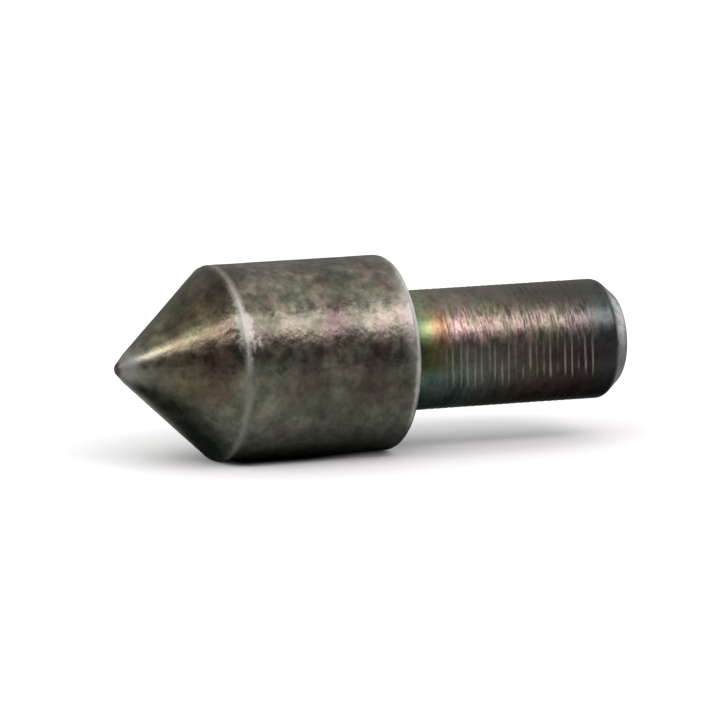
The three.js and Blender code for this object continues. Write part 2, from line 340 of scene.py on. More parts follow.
class Nodes:
    """A node tree being built. Each method adds nodes and returns an output socket."""

    def __init__(self, owner):
        owner.use_nodes = True
        self.owner = owner
        self.tree = owner.node_tree
        self.tree.nodes.clear()

    def add(self, kind, inputs=None, output=0, **settings):
        node = self.tree.nodes.new(kind)
        for key, value in settings.items():
            setattr(node, key, value)
        for key, value in (inputs or {}).items():
            self.feed(node.inputs[key], value)
        return node.outputs[output]

    def feed(self, socket, value):
        if isinstance(value, bpy.types.NodeSocket):
            self.tree.links.new(value, socket)
        elif isinstance(value, tuple) and socket.type == "RGBA":
            socket.default_value = (*value, 1.0)
        else:
            socket.default_value = value

    def math(self, operation, a, b=0.0, c=0.0):
        return self.add("ShaderNodeMath", {0: a, 1: b, 2: c}, operation=operation)

    def times(self, a, b):
        return self.math("MULTIPLY", a, b)

    def plus(self, a, b):
        return self.math("ADD", a, b)

    def position(self, stretch=(1, 1, 1)):
        """The point in the object's own frame, in millimetres, with each axis stretched."""
        coordinates = self.add("ShaderNodeTexCoord", output="Object")
        scale = tuple(s / MM for s in stretch)
        return self.add("ShaderNodeVectorMath", {0: coordinates, 1: scale}, operation="MULTIPLY")

    def axes(self, vector):
        """The vector's x, y and z."""
        node = self.tree.nodes.new("ShaderNodeSeparateXYZ")
        self.feed(node.inputs[0], vector)
        return node.outputs[0], node.outputs[1], node.outputs[2]

    def noise(self, vector, size, detail=3.0, rough=0.55, distort=0.0):
        """Noise from 0 to 1 with features of about this size, in the vector's own units."""
        inputs = {"Vector": vector, "Scale": 1 / size, "Detail": detail, "Roughness": rough,
                  "Distortion": distort}
        return self.add("ShaderNodeTexNoise", inputs)

    def spread(self, value, low, high, to_low=0.0, to_high=1.0, shape="SMOOTHSTEP"):
        """Maps low..high to to_low..to_high without overshoot."""
        inputs = {"Value": value, "From Min": low, "From Max": high, "To Min": to_low, "To Max": to_high}
        return self.add("ShaderNodeMapRange", inputs, interpolation_type=shape)

    def band(self, value, middle, width, softness):
        """1 within width of a middle value, falling to 0 over the softness beside it."""
        distance = self.math("ABSOLUTE", self.math("SUBTRACT", value, middle))
        return self.spread(distance, width, self.plus(width, softness), 1.0, 0.0)

    def ramp(self, value, stops):
        """A colour ramp: stops are (place, (r, g, b))."""
        node = self.tree.nodes.new("ShaderNodeValToRGB")
        self.feed(node.inputs[0], value)
        elements = node.color_ramp.elements
        while len(elements) < len(stops):
            elements.new(0.5)
        for element, (place, colour) in zip(elements, stops):
            element.position = place
            element.color = (*colour, 1.0)
        return node.outputs[0]

    def mix(self, factor, a, b, blend="MIX"):
        node = self.tree.nodes.new("ShaderNodeMix")
        node.data_type = "RGBA"
        node.blend_type = blend
        self.feed(node.inputs[0], factor)
        self.feed(node.inputs[6], a)
        self.feed(node.inputs[7], b)
        return node.outputs[2]

    def mix_values(self, factor, a, b):
        """a where the factor is 0 and b where it is 1."""
        return self.add("ShaderNodeMix", {0: factor, 2: a, 3: b})

    def shade(self, colour, factor):
        """A colour multiplied by a value."""
        return self.add("ShaderNodeVectorMath", {0: colour, 3: factor}, operation="SCALE")

    def bump(self, height, distance, normal=None):
        """Distance is the height in mm that a height of 1 stands for."""
        inputs = {"Height": height, "Distance": distance * MM}
        if normal is not None:
            inputs["Normal"] = normal
        return self.add("ShaderNodeBump", inputs)

    def surface(self, colour, roughness, normal=None, metallic=1.0, **more):
        inputs = {"Base Color": colour, "Roughness": roughness, "Metallic": metallic}
        if normal is not None:
            inputs["Normal"] = normal
        for key, value in more.items():
            inputs[key.replace("_", " ")] = value
        shader = self.add("ShaderNodeBsdfPrincipled", inputs)
        output = self.tree.nodes.new("ShaderNodeOutputMaterial")
        self.feed(output.inputs[0], shader)
        return self.owner


def material_nodes(name):
    return Nodes(bpy.data.materials.new(name))


def radius_of(nodes, y, z):
    """Distance from the spin axis."""
    return nodes.math("SQRT", nodes.plus(nodes.times(y, y), nodes.times(z, z)))


def head_stains_and_painted_light(s, x, z, blotch):
    """Brown along the cone, olive to mauve patches behind it, and greener underneath, the green painted
    lighter on the cone as fill light on its shaded underside. Towards the rear, painted light and shade:
    lighter up high and darker low down.
    """
    wander = s.math("MULTIPLY_ADD", s.math("SUBTRACT", blotch, 0.5), 9.0, x)
    tint = s.ramp(s.math("DIVIDE", wander, HEAD_END), [
        (0.00, (0.25, 0.245, 0.215)),
        (0.08, (0.205, 0.20, 0.165)),
        (0.15, (0.178, 0.172, 0.112)),
        (0.20, (0.115, 0.097, 0.056)),
        (0.25, (0.096, 0.068, 0.043)),
        (0.31, (0.098, 0.066, 0.047)),
        (0.35, (0.10, 0.07, 0.055)),
        (0.39, (0.18, 0.182, 0.142)),
        (0.47, (0.195, 0.185, 0.149)),
        (0.62, (0.178, 0.158, 0.129)),
        (0.78, (0.135, 0.11, 0.095)),
        (1.00, (0.13, 0.115, 0.105)),
    ])
    hue = s.noise(s.position((1.0, 0.7, 0.7)), 4.0, 3.0, 0.45, 0.3)
    mottle = s.ramp(hue, [
        (0.30, (0.125, 0.15, 0.115)),
        (0.42, (0.165, 0.18, 0.125)),
        (0.50, (0.19, 0.18, 0.135)),
        (0.58, (0.185, 0.145, 0.125)),
        (0.68, (0.155, 0.115, 0.11)),
    ])
    colour = s.mix(s.spread(x, CONE_END - 3.0, CONE_END + 0.5, 0.3, 0.5), tint, mottle)
    on_head = s.spread(x, CONE_END - 0.5, CONE_END + 3.0)
    # a real green tint underneath; on the cone it is lighter than the stains there, painted light
    # lifting the shaded underside
    green = s.mix(on_head, (0.235, 0.26, 0.195), (0.17, 0.20, 0.152))
    underneath = s.times(s.spread(z, -2.0, -7.5), s.mix_values(on_head, 1.0, 0.5))
    colour = s.mix(underneath, colour, green)
    # towards the rear, painted light and shade: lighter up where the highlight falls, darker low down
    near_rear = s.spread(x, CONE_END + 5.0, CONE_END + 13.0)
    rear_light_and_shade = s.spread(z, -2.0, 7.0, 0.82, 1.19)
    return s.shade(colour, s.mix_values(near_rear, 1.0, rear_light_and_shade))


def head_unevenness(s, z, blotch, cloud, flecks):
    """How much lighter or darker the stains are, less so underneath."""
    uneven = s.times(s.spread(cloud, 0.33, 0.67, 0.73, 1.24), s.spread(blotch, 0.34, 0.66, 0.67, 1.35))
    uneven = s.times(uneven, s.spread(flecks, 0.38, 0.62, 0.90, 1.10))
    return s.mix_values(s.spread(z, -4.0, 4.0, 0.66, 1.0), 1.0, uneven)


def rear_edge(s, z, ragged):
    """The bare strip on the rounded rear edge, partly bare metal and partly a painted highlight; it
    fades out low down.
    """
    strip = s.spread(ragged, HEAD_END - 1.2, HEAD_END - 0.5)
    return s.times(strip, s.spread(z, -10.5, -7.0, 0.0, 0.9))


def rim_wear_and_highlight(s, z, radius, ragged, edge, cloud, flecks):
    """How worn the head's front and rear rims are, with painted highlight: the front one flares out at
    the height where the highlight falls, the rear one widens up high and dims low down.
    """
    flare = s.band(z, 5.6, 1.2, 2.4)
    flare = s.times(flare, s.spread(cloud, 0.35, 0.6))
    flare = s.times(flare, s.spread(flecks, 0.36, 0.62, 0.35, 1.0))
    rim_middle = s.math("MULTIPLY_ADD", flare, 0.45, CONE_END + 0.5)
    rim_softness = s.math("MULTIPLY_ADD", flare, 1.1, 0.85)
    front_rim = s.band(ragged, rim_middle, s.times(flare, 0.3), rim_softness)
    rim_start = s.spread(z, -3.0, 5.0, HEAD_END - 1.4, HEAD_END - 3.0)
    rear_rim = s.spread(ragged, rim_start, HEAD_END + 0.1)
    rear_rim = s.times(rear_rim, s.spread(z, -10.0, -3.0, 0.25, 0.95))
    worn = s.math("MAXIMUM", front_rim, s.math("MAXIMUM", rear_rim, edge))
    worn = s.times(worn, s.spread(radius, HEAD_RADIUS - 2.0, HEAD_RADIUS - 0.9))
    return s.times(worn, s.spread(cloud, 0.3, 0.7, 0.65, 1.0))


def bare_rim_and_highlight(s, z, edge):
    """The colour of the worn rims: bare metal with a painted highlight by height, brightest where the
    highlight falls, and near white on the rear edge.
    """
    bright = s.ramp(s.spread(z, -HEAD_RADIUS, HEAD_RADIUS, shape="LINEAR"), [
        (0.05, (0.52, 0.51, 0.48)),
        (0.25, (0.35, 0.34, 0.32)),
        (0.47, (0.31, 0.30, 0.285)),
        (0.54, (0.38, 0.365, 0.35)),
        (0.64, (0.70, 0.675, 0.62)),
        (0.76, (0.68, 0.66, 0.61)),
        (0.88, (0.56, 0.54, 0.51)),
        (0.95, (0.35, 0.34, 0.32)),
    ])
    return s.mix(s.times(edge, 0.85), bright, (0.80, 0.80, 0.77))


def head_steel():
    """Oxidised dark steel with a ground point and bright worn rims, with painted highlight on the rims
    and painted light and shade towards the rear.
    """
    s = material_nodes("head_steel")
    point = s.position()
    drawn_out = s.position((1.0, 0.8, 0.8))
    x, y, z = s.axes(point)
    radius = radius_of(s, y, z)
    blotch = s.noise(point, 5.2, 2.0, 0.5, 0.4)
    cloud = s.noise(drawn_out, 1.5, 3.0, 0.5)
    flecks = s.noise(drawn_out, 0.7, 1.0, 0.5)
    grain = s.noise(point, 0.6, 2.0, 0.45)
    speck = s.noise(point, 0.28, 1.0, 0.5)

    colour = head_stains_and_painted_light(s, x, z, blotch)
    uneven = head_unevenness(s, z, blotch, cloud, flecks)
    colour = s.shade(colour, s.times(uneven, s.spread(grain, 0.35, 0.65, 0.94, 1.06)))
    ragged = s.math("MULTIPLY_ADD", grain, 0.5, x)
    edge = rear_edge(s, z, ragged)
    # worn rims, with a painted highlight by height
    worn = rim_wear_and_highlight(s, z, radius, ragged, edge, cloud, flecks)
    colour = s.mix(worn, colour, bare_rim_and_highlight(s, z, edge))
    ground_tip = s.spread(x, GROUND_TIP_END - 0.1, GROUND_TIP_END + 1.5, 0.85, 0.0)
    colour = s.mix(ground_tip, colour, (0.40, 0.385, 0.375))
    colour = s.mix(s.spread(ragged, 0.3, 0.8, 1.0, 0.0), colour, (0.115, 0.115, 0.108))

    matt = s.math("MAXIMUM", worn, ground_tip)
    rough = s.plus(s.spread(cloud, 0.3, 0.7, 0.25, 0.34), s.times(matt, 0.26))
    lathe_marks = s.noise(s.position((1.0, 0.02, 0.02)), 0.3, 2.0, 0.6)
    normal = s.bump(lathe_marks, 0.004, s.bump(speck, 0.003))
    coarse = s.spread(x, CONE_END - 7.0, CONE_END, 0.35, 1.0)
    normal = s.bump(s.times(cloud, coarse), 0.06, s.bump(s.times(flecks, coarse), 0.045, normal))
    return s.surface(colour, rough, normal)


def temper_tints_and_painted_light(s, x, z, blotch):
    """Temper tints along the stud, painted with light and shade by height: brighter on the upper side
    where the highlight falls, darker on the lower side, and grey on top.
    """
    drift_size = s.spread(x, THREAD_START, THREAD_START + 5.0, 1.2, 4.0)
    drifting = s.plus(x, s.times(s.math("SUBTRACT", blotch, 0.5), drift_size))
    along = s.spread(drifting, HEAD_END, STUD_END, shape="LINEAR")
    # painted highlight: the temper tints as lit on the upper side
    upper = s.ramp(along, [
        (0.00, (0.075, 0.155, 0.10)),
        (0.065, (0.135, 0.215, 0.112)),
        (0.10, (0.34, 0.36, 0.19)),
        (0.125, (0.36, 0.27, 0.143)),
        (0.16, (0.285, 0.155, 0.103)),
        (0.22, (0.365, 0.292, 0.245)),
        (0.45, (0.245, 0.205, 0.171)),
        (0.65, (0.209, 0.195, 0.157)),
        (0.78, (0.15, 0.126, 0.128)),
        (0.87, (0.105, 0.125, 0.127)),
        (1.00, (0.085, 0.09, 0.095)),
    ])
    # painted shade: the temper tints as seen on the shaded lower side
    lower = s.ramp(along, [
        (0.00, (0.064, 0.078, 0.033)),
        (0.09, (0.066, 0.074, 0.03)),
        (0.16, (0.105, 0.11, 0.064)),
        (0.22, (0.125, 0.135, 0.117)),
        (0.30, (0.14, 0.14, 0.123)),
        (0.55, (0.09, 0.078, 0.06)),
        (0.78, (0.056, 0.035, 0.036)),
        (0.88, (0.038, 0.042, 0.042)),
        (1.00, (0.044, 0.042, 0.046)),
    ])
    # the paler, greyer top, also painted by height
    grey = s.ramp(along, [
        (0.00, (0.24, 0.255, 0.185)),
        (0.30, (0.16, 0.156, 0.13)),
        (0.60, (0.074, 0.071, 0.06)),
        (0.80, (0.074, 0.071, 0.066)),
        (1.00, (0.095, 0.095, 0.09)),
    ])
    teal = s.times(s.spread(z, -0.8, -3.2), s.spread(drifting, THREAD_START + 9.0, THREAD_START + 2.0))
    lower = s.mix(teal, lower, (0.11, 0.16, 0.15))
    tint = s.mix(s.spread(z, -0.4, 2.9), lower, upper)
    return s.mix(s.spread(z, 4.6, 6.8, 0.0, 0.8), tint, grey)


def stained(s, colour, patch):
    """A colour with patches and faint green to pink stains."""
    mottle = s.ramp(patch, [
        (0.32, (0.66, 0.70, 0.68)),
        (0.50, (1.0, 1.0, 1.0)),
        (0.68, (1.22, 1.1, 1.14)),
    ])
    colour = s.mix(1.0, colour, mottle, "MULTIPLY")
    hue = s.noise(s.position((1.0, 0.8, 0.8)), 2.4, 2.0, 0.5)
    stains = s.ramp(hue, [
        (0.36, (0.94, 1.03, 0.90)),
        (0.50, (1.0, 1.0, 0.98)),
        (0.64, (1.06, 0.95, 1.02)),
    ])
    return s.mix(1.0, colour, stains, "MULTIPLY")


def threaded_outside(s, x, radius):
    """1 on the outside of the threaded length, fading at its ends."""
    run_in = s.spread(x, THREAD_START, THREAD_START + 2.0)
    run_out = s.spread(x, THREAD_END - 1.0, THREAD_END, 1.0, 0.0)
    outside = s.spread(radius, STUD_RADIUS - 1.0, STUD_RADIUS - 0.5)
    return s.times(s.times(run_in, run_out), outside)


def ridge_lines(s, x, y, z, angle, ridged):
    """Broken crest lines of the thread on the stud's sides, and the hollows between them: partly rubbed
    crests, partly a painted reflection that slides across each ridge and shows only within a band of
    height, with the hollows darkened in the same band.
    """
    wobble = s.times(s.noise(s.position((1.0, 0.06, 0.06)), 1.7, 2.0, 0.6), 0.8)
    # the line slides across the ridge towards the sides, as a reflection would
    across_ridge = s.math("MULTIPLY_ADD", s.math("ABSOLUTE", y), 0.42, x)
    turns = s.plus(s.times(across_ridge, 1 / THREAD_PITCH), wobble)
    turns = s.plus(turns, s.times(angle, -0.5 / math.pi))
    crest = s.band(s.math("FRACT", turns), 0.5, 0.07, 0.14)
    along_ridges = s.noise(s.position((1.0, 0.15, 0.15)), 0.9, 2.0, 0.6)
    height = s.math("MULTIPLY_ADD", s.math("SUBTRACT", along_ridges, 0.5), 5.0, z)
    lowest = s.spread(x, THREAD_START, THREAD_END - 6.0, -3.6, -2.2)
    above_lowest = s.spread(s.math("SUBTRACT", height, lowest), -1.4, 0.0)
    threaded = s.times(ridged, s.times(s.spread(height, 3.0, 1.8), above_lowest))
    rubbed = s.times(s.spread(along_ridges, 0.36, 0.60), threaded)
    hollows = s.times(threaded, s.math("SUBTRACT", 1.0, crest))
    return s.times(crest, rubbed), hollows


def bare_chamfer_and_shade(s, x, z, radius, patch):
    """How bare the end chamfer is: chipped all over, with painted shade darkening it underneath."""
    start = STUD_END - END_CHAMFER
    chamfer = s.spread(s.plus(x, s.times(patch, 0.8)), start + 0.1, start + 1.1)
    chamfer = s.times(chamfer, s.spread(radius, END_FACE_RADIUS + 0.1, END_FACE_RADIUS + 0.5))
    chipped = s.noise(s.position((0.8, 1.0, 1.0)), 0.9, 3.0, 0.6)
    chamfer = s.times(chamfer, s.spread(chipped, 0.36, 0.56, 0.45, 0.97))
    # painted shade: the bare chamfer fades darker underneath
    return s.times(chamfer, s.spread(z, -4.0, 1.5, 0.17, 1.0))


def crossing_strokes(s, x, angle):
    """Short strokes across the thread that lean both ways."""
    arc = s.times(angle, STUD_RADIUS)
    strokes = []
    for lean in (0.2, -0.14):
        leaning = s.math("MULTIPLY_ADD", arc, lean, x)
        slanted = s.add("ShaderNodeCombineXYZ", {0: leaning, 1: s.times(arc, 0.24)})
        strokes.append(s.noise(slanted, 0.46, 1.0, 0.4))
    return s.math("MAXIMUM", *strokes)


def stud_steel():
    """Oxidised steel with temper tints, rubbed thread crests and a chipped end chamfer, with painted
    light and shade by height, painted reflections on the crests and a painted glint pattern on the upper
    side.
    """
    s = material_nodes("stud_steel")
    point = s.position()
    x, y, z = s.axes(point)
    radius = radius_of(s, y, z)
    angle = s.math("ARCTAN2", s.times(y, -1.0), z)
    blotch = s.noise(point, 4.0, 2.0, 0.5)
    patch = s.noise(s.position((1.0, 0.6, 0.6)), 1.6, 3.0, 0.55)
    grain = s.noise(point, 0.45, 2.0, 0.5)
    speck = s.noise(point, 0.25, 1.0, 0.5)

    colour = stained(s, temper_tints_and_painted_light(s, x, z, blotch), patch)
    colour = s.shade(colour, s.spread(grain, 0.3, 0.7, 0.86, 1.12))
    # painted fill light: the lowest part of the stud is painted up to 2.8 times lighter against its
    # shaded underside
    colour = s.shade(colour, s.spread(z, -7.4, -4.6, 2.8, 1.0))
    ridged = threaded_outside(s, x, radius)
    crests, hollows = ridge_lines(s, x, y, z, angle, ridged)
    # crest lines, partly rubbed bare and partly painted reflection; darker hollows between them
    colour = s.mix(s.times(crests, 0.75), colour, (0.29, 0.28, 0.255))
    colour = s.shade(colour, s.math("MULTIPLY_ADD", hollows, -0.15, 1.0))
    colour = s.mix(bare_chamfer_and_shade(s, x, z, radius, patch), colour, (0.44, 0.44, 0.45))
    # painted glint: the strokes lighten and darken the colour only on the upper side, in the band where
    # the highlight falls; they are bumps there too
    strokes = crossing_strokes(s, x, angle)
    upper_side = s.times(s.spread(z, 0.5, 2.0), s.spread(z, 7.0, 5.2, 0.12, 1.0))
    stroked = s.times(ridged, upper_side)
    colour = s.shade(colour, s.mix_values(stroked, 1.0, s.spread(strokes, 0.47, 0.64, 0.76, 1.38)))

    rough = s.spread(patch, 0.3, 0.7, 0.29, 0.38)
    normal = s.bump(grain, 0.015, s.bump(speck, 0.004))
    normal = s.bump(s.times(strokes, stroked), 0.04, s.bump(patch, 0.03, normal))
    return s.surface(colour, rough, normal)


def ground_steel(name, colour, roughness, mark_size=0.12, mark_depth=0.002):
    """Turned or ground steel with fine marks round the axis and faint oil stains."""
    s = material_nodes(name)
    marks = s.noise(s.position((1.0, 0.03, 0.03)), mark_size, 2.0, 0.7)
    stain = s.noise(s.position(), 2.5, 3.0, 0.6)
    tint = s.mix(s.spread(stain, 0.35, 0.7), colour, tuple(c * 0.72 for c in colour))
    rough = s.spread(marks, 0.3, 0.7, roughness * 0.7, roughness * 1.3)
    return s.surface(tint, rough, s.bump(marks, mark_depth))


def nut_steel():
    """Black-oxide steel with concentric turning marks and rubbed rims."""
    s = material_nodes("nut_steel")
    point = s.position()
    x, y, z = s.axes(point)
    radius = radius_of(s, y, z)
    rings = s.noise(s.add("ShaderNodeCombineXYZ", {0: radius, 1: s.times(x, 0.5)}), 0.16, 2.0, 0.6)
    stain = s.noise(point, 1.8, 3.0, 0.6)
    colour = s.mix(s.spread(stain, 0.35, 0.68), (0.085, 0.083, 0.076), (0.15, 0.14, 0.12))
    ragged = s.math("MULTIPLY_ADD", s.noise(point, 0.5, 2.0), 0.5, radius)
    rims = s.math("MAXIMUM", s.spread(ragged, NUT_RADIUS - 0.35, NUT_RADIUS + 0.05),
                  s.spread(ragged, NUT_BORE_RADIUS + 0.75, NUT_BORE_RADIUS + 0.35))
    colour = s.mix(s.times(rims, 0.75), colour, (0.36, 0.35, 0.33))
    rough = s.spread(rings, 0.3, 0.7, 0.3, 0.5)
    return s.surface(colour, rough, s.bump(stain, 0.02, s.bump(rings, 0.006)))


def felt():
    """Oiled wool felt: tangled fibres, uneven colour, a little fuzz."""
    s = material_nodes("felt")
    point = s.position()
    fibres = s.noise(point, 0.12, 4.0, 0.7, 2.0)
    oil = s.noise(point, 1.8, 3.0, 0.6)
    colour = s.mix(s.spread(oil, 0.35, 0.65), (0.42, 0.36, 0.26), (0.24, 0.19, 0.12))
    colour = s.mix(s.spread(fibres, 0.35, 0.65, 0.0, 0.45), colour, (0.62, 0.57, 0.47))
    return s.surface(colour, 0.95, s.bump(fibres, 0.06), 0.0, Sheen_Weight=0.4)


MATERIALS = {
    "head_steel": head_steel(),
    "stud_steel": stud_steel(),
    "nut_steel": nut_steel(),
    "race_steel": ground_steel("race_steel", (0.56, 0.57, 0.58), 0.16),
    "ball_steel": ground_steel("ball_steel", (0.70, 0.71, 0.73), 0.07, 0.3, 0.0003),
    "cage_brass": ground_steel("cage_brass", (0.60, 0.42, 0.17), 0.3, 0.15, 0.003),
    "spring_steel": ground_steel("spring_steel", (0.10, 0.115, 0.14), 0.34, 0.2, 0.002),
    "spacer_steel": ground_steel("spacer_steel", (0.38, 0.38, 0.375), 0.3),
    "felt": felt(),
}


def stand_for(piece, node):
    """The piece replaces a CAD node, rides on its body and takes its slot's material."""
    slot = SLOT_OF[node]
    piece.data.materials.clear()
    piece.data.materials.append(MATERIALS[slot])
    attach(piece, BODY_OF[node])
    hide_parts(node)


# ---- the head ----

HEAD_COLUMNS = 288
SURFACE_STEP = 0.33


def head_outline():
    """The head's outside, from the point to its mouth, and its stepped bore back to the axis."""
    mouth = NUT_RADIUS + THREAD_PLAY
    seat = NUT_START - NUT_SEAT_PLAY
    outer = section([
        (HEAD_START, 0),
        (HEAD_START, TIP_FLAT_RADIUS, 0.12),
        (GROUND_TIP_END, GROUND_TIP_RADIUS, 2.0),
        (CONE_END, HEAD_RADIUS, 0.5),
        (HEAD_END, HEAD_RADIUS, 1.15),
        (HEAD_END, mouth + MOUTH_CHAMFER_RISE),
    ], step=SURFACE_STEP)
    inner = section([
        (HEAD_END, mouth + MOUTH_CHAMFER_RISE),
        (HEAD_END - MOUTH_CHAMFER_LENGTH, mouth),
        (seat, mouth),
        (seat, BEARING_BORE_RADIUS, 0.1),
        (RELIEF_END, BEARING_BORE_RADIUS, 0.15),
        (RELIEF_END, RELIEF_RADIUS, 0.15),
        (POCKET_END, RELIEF_RADIUS, 0.2),
        (POCKET_END, POCKET_RADIUS, 0.1),
        (BORE_FLOOR, POCKET_RADIUS, 0.2),
        (BORE_FLOOR, 0),
    ])
    return outer, inner


def near(along, place, reach):
    """1 at a place along the axis, falling away beside it."""
    return np.exp(-(((along - place) / reach) ** 2))


def make_head():
    """The head, with a slightly uneven outside and nicks in its two rims."""
    outer, inner = head_outline()
    outline = np.concatenate([outer, inner[1:]])
    along, radius = turned_grid(outline, HEAD_COLUMNS)
    outside = (np.arange(len(outline)) < len(outer) - 1)[:, None]
    strength = smoothstep(0.5, 3.0, radius) * outside
    points = points_of(along, radius)
    waves = bumps(points, 3.2, 1) * 0.02 + bumps(points, 0.9, 2, 2) * 0.008
    on_rims = near(along, CONE_END, 0.5) + near(along, HEAD_END, 0.6)
    nicks = np.minimum(bumps(points, 0.8, 3, 2) + 0.1, 0) * 0.09 * on_rims
    radius = np.minimum(radius + (waves + nicks) * strength, HEAD_RADIUS + HIGHEST_SWELL)
    stand_for(grid_object("rotating_head_fine", along, radius), "rotating_head")


# ---- the stud ----

STUD_COLUMNS = 192
ROWS_PER_PITCH = 14


def hexagon_radius(columns):
    """The radius of the hexagonal socket's wall at each column."""
    sixth = math.pi / 3
    offset = np.mod(angles(columns) + sixth / 2, sixth) - sixth / 2
    return SOCKET_FLAT / np.cos(offset)


def stud_front_outline():
    """From the nose over the journal and its circlip groove to the start of the neck."""
    return section([
        (STUD_START, 0),
        (STUD_START, NOSE_RADIUS, 0.4),
        (JOURNAL_START, NOSE_RADIUS, 0.2),
        (JOURNAL_START, JOURNAL_RADIUS, 0.25),
        (GROOVE_START, JOURNAL_RADIUS),
        (GROOVE_START, GROOVE_RADIUS),
        (GROOVE_END, GROOVE_RADIUS),
        (GROOVE_END, JOURNAL_RADIUS),
        (JOURNAL_END, JOURNAL_RADIUS, 0.15),
        (JOURNAL_END, SHOULDER_RADIUS, 0.15),
        (SHOULDER_END, SHOULDER_RADIUS),
        (SHOULDER_END, STUD_RADIUS, 0.3),
        (SHOULDER_END + 1.0, STUD_RADIUS),
    ])


def stud_rear_outline():
    """From behind the thread over the end chamfer to the socket's mouth."""
    return section([
        (THREAD_END + 0.8, STUD_RADIUS),
        (STUD_END - END_CHAMFER, STUD_RADIUS, 1.4),
        (STUD_END, END_FACE_RADIUS, 0.8),
        (STUD_END, SOCKET_MOUTH),
    ], step=SURFACE_STEP)


def stud_outline():
    """The whole outside, with rows close enough together to hold the thread."""
    front = stud_front_outline()
    rear = stud_rear_outline()
    dense_start = THREAD_START - 0.5
    neck = np.arange(front[-1][0] + SURFACE_STEP, dense_start, SURFACE_STEP)
    thread = np.arange(dense_start, rear[0][0], THREAD_PITCH / ROWS_PER_PITCH)
    middle = np.concatenate([neck, thread])
    middle = np.stack([middle, np.full(len(middle), STUD_RADIUS)], axis=1)
    return np.concatenate([front, middle, rear])


def thread_cut(along, radius, points):
    """The depth of the worn helical groove at each point, and 0 off the thread."""
    threaded = (along > THREAD_START - 1) & (along < THREAD_END + 1) & (radius > STUD_RADIUS - 0.01)
    turns = along / THREAD_PITCH - angles(STUD_COLUMNS)[None, :] / (2 * math.pi)
    on_helix = np.stack([turns, np.zeros_like(turns), np.zeros_like(turns)], axis=-1)
    phase = np.mod(turns + 0.1 * bumps(on_helix, 2.3, 5, 2), 1.0)
    across = np.clip((phase - CREST_SHARE) / (1 - CREST_SHARE), 0, 1)
    groove = 0.5 - 0.5 * np.cos(2 * math.pi * across)
    run_in = smoothstep(THREAD_START, THREAD_START + 1.6, along)
    run_out = 1 - smoothstep(THREAD_END - 1.8, THREAD_END, along)
    wear = 0.75 + 0.5 * bumps(on_helix, 1.3, 8, 2) + 0.3 * bumps(points, 2.6, 6, 2)
    depth = THREAD_DEPTH * groove * (run_in * run_out) * np.clip(wear, 0.15, 1.2)
    return np.where(threaded, depth, 0)


def socket_rows():
    """Rows of the hexagonal socket, from its mouth to the drilled point in its floor."""
    wall = hexagon_radius(STUD_COLUMNS)
    socket_floor = STUD_END - SOCKET_DEPTH
    rows = [
        (STUD_END - (SOCKET_MOUTH - wall), wall),
        (socket_floor, wall),
        (socket_floor, DRILLED_RADIUS),
        (socket_floor - DRILLED_DEPTH, DRILLED_RADIUS - 0.1),
        (socket_floor - DRILL_POINT_DEPTH, 0),
    ]
    along = [np.broadcast_to(place, STUD_COLUMNS) for place, radius in rows]
    radius = [np.broadcast_to(radius, STUD_COLUMNS) for place, radius in rows]
    return np.array(along), np.array(radius)


def make_stud():
    """The stud, with its thread, a slightly uneven outside and the socket in its end."""
    along, radius = turned_grid(stud_outline(), STUD_COLUMNS)
    points = points_of(along, radius)
    radius = radius - thread_cut(along, radius, points)
    behind_shoulder = smoothstep(SHOULDER_END + 1, SHOULDER_END + 3, along)
    outside = behind_shoulder * smoothstep(END_FACE_RADIUS - 0.5, END_FACE_RADIUS, radius)
    radius = radius + np.minimum(bumps(points, 2.4, 7) * 0.012, 0.012) * outside
    socket_along, socket_radius = socket_rows()
    along = np.concatenate([along, socket_along])
    radius = np.concatenate([radius, socket_radius])
    stand_for(grid_object("fixed_stud_fine", along, radius), "fixed_stud")


# ---- bearings ----


def race_arc(middle, bottom, land, ball, facing):
    """Points of a race's arc. facing is +1 for a race that looks away from the axis, or else -1."""
    radius = ball * RACE_TO_BALL
    depth = abs(land - bottom)
    edge = math.acos(1 - depth / radius)
    turns = np.linspace(-edge, edge, 17)
    return [(middle + radius * math.sin(t), bottom + facing * radius * (1 - math.cos(t))) for t in turns]


def make_radial_rings(name):
    """A ball bearing's inner and outer ring, each with a track for the balls."""
    start, end, land = span(f"{name}_inner_ring")
    middle = (start + end) / 2
    hole = JOURNAL_RADIUS + SLIDING_PLAY
    bottom = RADIAL_PITCH - RADIAL_BALL - BALL_PLAY
    track = race_arc(middle, bottom, land, RADIAL_BALL, 1)
    inner = turned_object(f"{name}_inner_ring_fine", [
        (start, hole, 0.2), (start, land, 0.12), *track, (end, land, 0.12), (end, hole, 0.2)])
    stand_for(inner, f"{name}_inner_ring")
    start, end, rim = span(f"{name}_outer_ring")
    land = RADIAL_OUTER_LAND
    bottom = RADIAL_PITCH + RADIAL_BALL + BALL_PLAY
    track = race_arc(middle, bottom, land, RADIAL_BALL, -1)[::-1]
    outer = turned_object(f"{name}_outer_ring_fine", [
        (start, land, 0.12), (start, rim, 0.25), (end, rim, 0.25), (end, land, 0.12), *track])
    stand_for(outer, f"{name}_outer_ring")


def make_thrust_washer(node, hole, facing):
    """A washer with a ball track in one face. facing is +1 where that face looks along +X."""
    start, end, rim = span(node)
    cage_start, cage_end, _ = span("thrust_cage")
    back, face = (start, end) if facing > 0 else (end, start)
    bottom = (cage_start + cage_end) / 2 - facing * (THRUST_BALL + BALL_PLAY)
    arc = race_arc(THRUST_PITCH, bottom, face, THRUST_BALL, facing)
    track = [(height, across) for across, height in arc]
    corners = [(back, hole, 0.15), (back, rim, 0.25), (face, rim, 0.2), *track[::-1], (face, hole, 0.15)]
    if facing < 0:
        corners.reverse()
    stand_for(turned_object(f"{node}_fine", corners), node)


